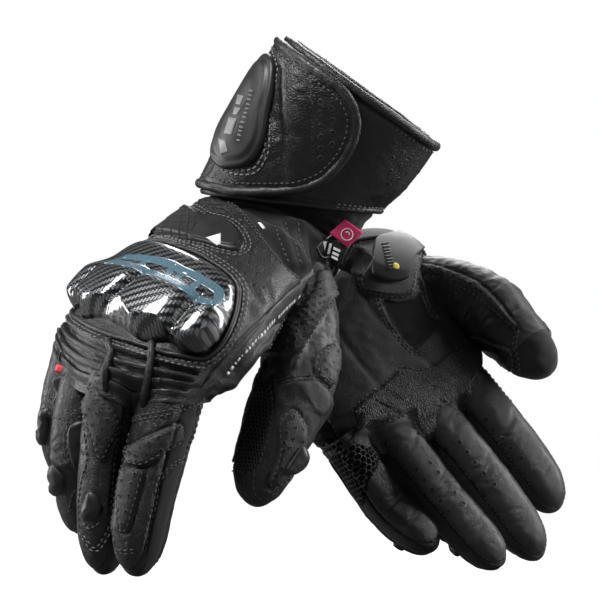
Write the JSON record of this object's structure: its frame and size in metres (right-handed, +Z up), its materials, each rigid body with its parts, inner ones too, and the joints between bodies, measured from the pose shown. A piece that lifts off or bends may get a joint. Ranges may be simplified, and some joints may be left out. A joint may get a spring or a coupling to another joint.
{
  "type": "riding gloves",
  "caption": "Pair of gauntlet riding gloves with moulded knuckle guards, palm sliders, jointed fingers and thumbs, wrist straps and closure flaps; standing on their fingertips.",
  "frame": {"origin": "centre of the footprint at the level of the lowest fingertip", "axes": "+Z up from the fingertips to the cuffs, -Y towards the side that shows the back of the right glove"},
  "size_m": [0.264, 0.2908, 0.2661],
  "materials": {
    "leather": "grained black cowhide",
    "moulded": "satin moulded polyurethane",
    "carbon": "clear-coated carbon twill",
    "suede": "suede grip print",
    "stretch": "woven stretch textile",
    "mesh": "open honeycomb mesh",
    "webbing": "woven nylon webbing",
    "wire": "black coated steel wire"
  },
  "bodies": {
    "left_hand": {"left_hand_shell": "leather", "left_thumb_gusset": "leather", "left_knuckle_guard": "carbon", "left_back_guard": "moulded", "left_flex_panel": "leather", "left_palm_slider": "moulded", "left_palm_grip_patch": "suede", "left_palm_stretch_panel": "stretch", "left_ulnar_mesh_panel": "mesh", "left_strap_loop": "wire"},
    "left_cuff": {"left_cuff_shell": "leather"},
    "left_flap": {"left_cuff_flap": "leather", "left_cuff_guard": "moulded"},
    "left_strap": {"left_wrist_strap": "webbing", "left_pull_tab": "webbing"},
    "left_thumb_base": {"left_thumb_base": "leather"},
    "left_thumb_tip": {"left_thumb_tip": "leather", "left_thumb_slider": "moulded"},
    "left_index_base": {"left_index_base": "leather"},
    "left_index_tip": {"left_index_tip": "leather"},
    "left_middle_base": {"left_middle_base": "leather"},
    "left_middle_tip": {"left_middle_tip": "leather", "left_middle_slider": "moulded"},
    "left_ring_base": {"left_ring_base": "leather"},
    "left_ring_tip": {"left_ring_tip": "leather", "left_ring_slider": "moulded"},
    "left_pinky_base": {"left_pinky_base": "leather"},
    "left_pinky_tip": {"left_pinky_tip": "leather", "left_pinky_slider": "moulded"},
    "right_hand": {"right_hand_shell": "leather", "right_thumb_gusset": "leather", "right_knuckle_guard": "carbon", "right_back_guard": "moulded", "right_flex_panel": "leather", "right_palm_slider": "moulded", "right_palm_grip_patch": "suede", "right_palm_stretch_panel": "stretch", "right_ulnar_mesh_panel": "mesh", "right_strap_loop": "wire"},
    "right_cuff": {"right_cuff_shell": "leather"},
    "right_flap": {"right_cuff_flap": "leather", "right_cuff_guard": "moulded"},
    "right_strap": {"right_wrist_strap": "webbing", "right_pull_tab": "webbing"},
    "right_thumb_base": {"right_thumb_base": "leather"},
    "right_thumb_tip": {"right_thumb_tip": "leather", "right_thumb_slider": "moulded"},
    "right_index_base": {"right_index_base": "leather"},
    "right_index_tip": {"right_index_tip": "leather"},
    "right_middle_base": {"right_middle_base": "leather"},
    "right_middle_tip": {"right_middle_tip": "leather", "right_middle_slider": "moulded"},
    "right_ring_base": {"right_ring_base": "leather"},
    "right_ring_tip": {"right_ring_tip": "leather", "right_ring_slider": "moulded"},
    "right_pinky_base": {"right_pinky_base": "leather"},
    "right_pinky_tip": {"right_pinky_tip": "leather", "right_pinky_slider": "moulded"}
  },
  "joints": [
    {"name": "left_wrist", "type": "hinge", "parent": "left_hand", "child": "left_cuff", "pos_m": [0.01992, 0.05554, 0.15758], "axis": [-0.8841, -0.4219, -0.2009], "range_deg": [-30, 8]},
    {"name": "left_cuff_flap", "type": "hinge", "parent": "left_cuff", "child": "left_flap", "pos_m": [-0.04141, 0.06414, 0.15898], "axis": [-0.5176, 0.8448, 0.1362], "range_deg": [0, 100]},
    {"name": "left_wrist_strap", "type": "hinge", "parent": "left_hand", "child": "left_strap", "pos_m": [0.00785, 0.03082, 0.17326], "axis": [0.1988, -0.8577, -0.4742], "range_deg": [0, 45]},
    {"name": "left_thumb_base", "type": "hinge", "parent": "left_hand", "child": "left_thumb_base", "pos_m": [0.09192, 0.01654, 0.13808], "axis": [0.6053, 0.0982, 0.7899], "range_deg": [-30, 12]},
    {"name": "left_thumb_tip", "type": "hinge", "parent": "left_thumb_base", "child": "left_thumb_tip", "pos_m": [0.10492, 0.00754, 0.12458], "axis": [0.7487, 0.0079, 0.6629], "range_deg": [-45, 8]},
    {"name": "left_index_base", "type": "hinge", "parent": "left_hand", "child": "left_index_base", "pos_m": [0.08162, 0.00634, 0.09288], "axis": [-0.701, -0.4406, -0.5608], "range_deg": [-8, 60]},
    {"name": "left_index_tip", "type": "hinge", "parent": "left_index_base", "child": "left_index_tip", "pos_m": [0.10102, 0.00504, 0.06958], "axis": [-0.701, -0.4406, -0.5608], "range_deg": [-5, 75]},
    {"name": "left_middle_base", "type": "hinge", "parent": "left_hand", "child": "left_middle_base", "pos_m": [0.06562, -0.00396, 0.07508], "axis": [-0.701, -0.4406, -0.5608], "range_deg": [-8, 60]},
    {"name": "left_middle_tip", "type": "hinge", "parent": "left_middle_base", "child": "left_middle_tip", "pos_m": [0.08652, -0.00456, 0.04938], "axis": [-0.701, -0.4406, -0.5608], "range_deg": [-5, 75]},
    {"name": "left_ring_base", "type": "hinge", "parent": "left_hand", "child": "left_ring_base", "pos_m": [0.04472, -0.01286, 0.06438], "axis": [-0.701, -0.4406, -0.5608], "range_deg": [-8, 60]},
    {"name": "left_ring_tip", "type": "hinge", "parent": "left_ring_base", "child": "left_ring_tip", "pos_m": [0.06452, -0.01256, 0.03948], "axis": [-0.701, -0.4406, -0.5608], "range_deg": [-5, 75]},
    {"name": "left_pinky_base", "type": "hinge", "parent": "left_hand", "child": "left_pinky_base", "pos_m": [0.02172, -0.02046, 0.05808], "axis": [-0.701, -0.4406, -0.5608], "range_deg": [-8, 60]},
    {"name": "left_pinky_tip", "type": "hinge", "parent": "left_pinky_base", "child": "left_pinky_tip", "pos_m": [0.03792, -0.01696, 0.03378], "axis": [-0.701, -0.4406, -0.5608], "range_deg": [-5, 75]},
    {"name": "right_glove_lift", "type": "slide", "parent": "left_hand", "child": "right_hand", "axis": [0, -1, 0], "range_m": [0, 0.25]},
    {"name": "right_wrist", "type": "hinge", "parent": "right_hand", "child": "right_cuff", "pos_m": [-0.01808, -0.04646, 0.17858], "axis": [0.9324, -0.1203, -0.3409], "range_deg": [-30, 8]},
    {"name": "right_cuff_flap", "type": "hinge", "parent": "right_cuff", "child": "right_flap", "pos_m": [-0.03514, -0.04614, 0.23112], "axis": [-0.5003, 0.1969, -0.8432], "range_deg": [0, 100]},
    {"name": "right_wrist_strap", "type": "hinge", "parent": "right_hand", "child": "right_strap", "pos_m": [-0.02918, -0.02265, 0.1687], "axis": [0.5079, 0.2739, 0.8167], "range_deg": [0, 45]},
    {"name": "right_thumb_base", "type": "hinge", "parent": "right_hand", "child": "right_thumb_base", "pos_m": [-0.00748, -0.08446, 0.09378], "axis": [-0.9093, -0.2701, 0.3167], "range_deg": [-20, 15]},
    {"name": "right_thumb_tip", "type": "hinge", "parent": "right_thumb_base", "child": "right_thumb_tip", "pos_m": [-0.01658, -0.09446, 0.06928], "axis": [-0.8816, -0.2357, 0.409], "range_deg": [-35, 8]},
    {"name": "right_index_base", "type": "hinge", "parent": "right_hand", "child": "right_index_base", "pos_m": [-0.06528, -0.12516, 0.08228], "axis": [0.7797, -0.5998, -0.1799], "range_deg": [-28, 35]},
    {"name": "right_index_tip", "type": "hinge", "parent": "right_index_base", "child": "right_index_tip", "pos_m": [-0.07218, -0.12646, 0.05678], "axis": [0.7797, -0.5998, -0.1799], "range_deg": [-8, 60]},
    {"name": "right_middle_base", "type": "hinge", "parent": "right_hand", "child": "right_middle_base", "pos_m": [-0.09058, -0.11696, 0.08828], "axis": [0.7797, -0.5998, -0.1799], "range_deg": [-28, 35]},
    {"name": "right_middle_tip", "type": "hinge", "parent": "right_middle_base", "child": "right_middle_tip", "pos_m": [-0.09458, -0.11386, 0.06028], "axis": [0.7797, -0.5998, -0.1799], "range_deg": [-8, 60]},
    {"name": "right_ring_base", "type": "hinge", "parent": "right_hand", "child": "right_ring_base", "pos_m": [-0.10518, -0.09766, 0.09688], "axis": [0.7797, -0.5998, -0.1799], "range_deg": [-28, 35]},
    {"name": "right_ring_tip", "type": "hinge", "parent": "right_ring_base", "child": "right_ring_tip", "pos_m": [-0.11108, -0.09636, 0.06688], "axis": [0.7797, -0.5998, -0.1799], "range_deg": [-8, 60]},
    {"name": "right_pinky_base", "type": "hinge", "parent": "right_hand", "child": "right_pinky_base", "pos_m": [-0.11358, -0.07356, 0.10798], "axis": [0.7797, -0.5998, -0.1799], "range_deg": [-28, 35]},
    {"name": "right_pinky_tip", "type": "hinge", "parent": "right_pinky_base", "child": "right_pinky_tip", "pos_m": [-0.11928, -0.07436, 0.08548], "axis": [0.7797, -0.5998, -0.1799], "range_deg": [-8, 60]}
  ]
}
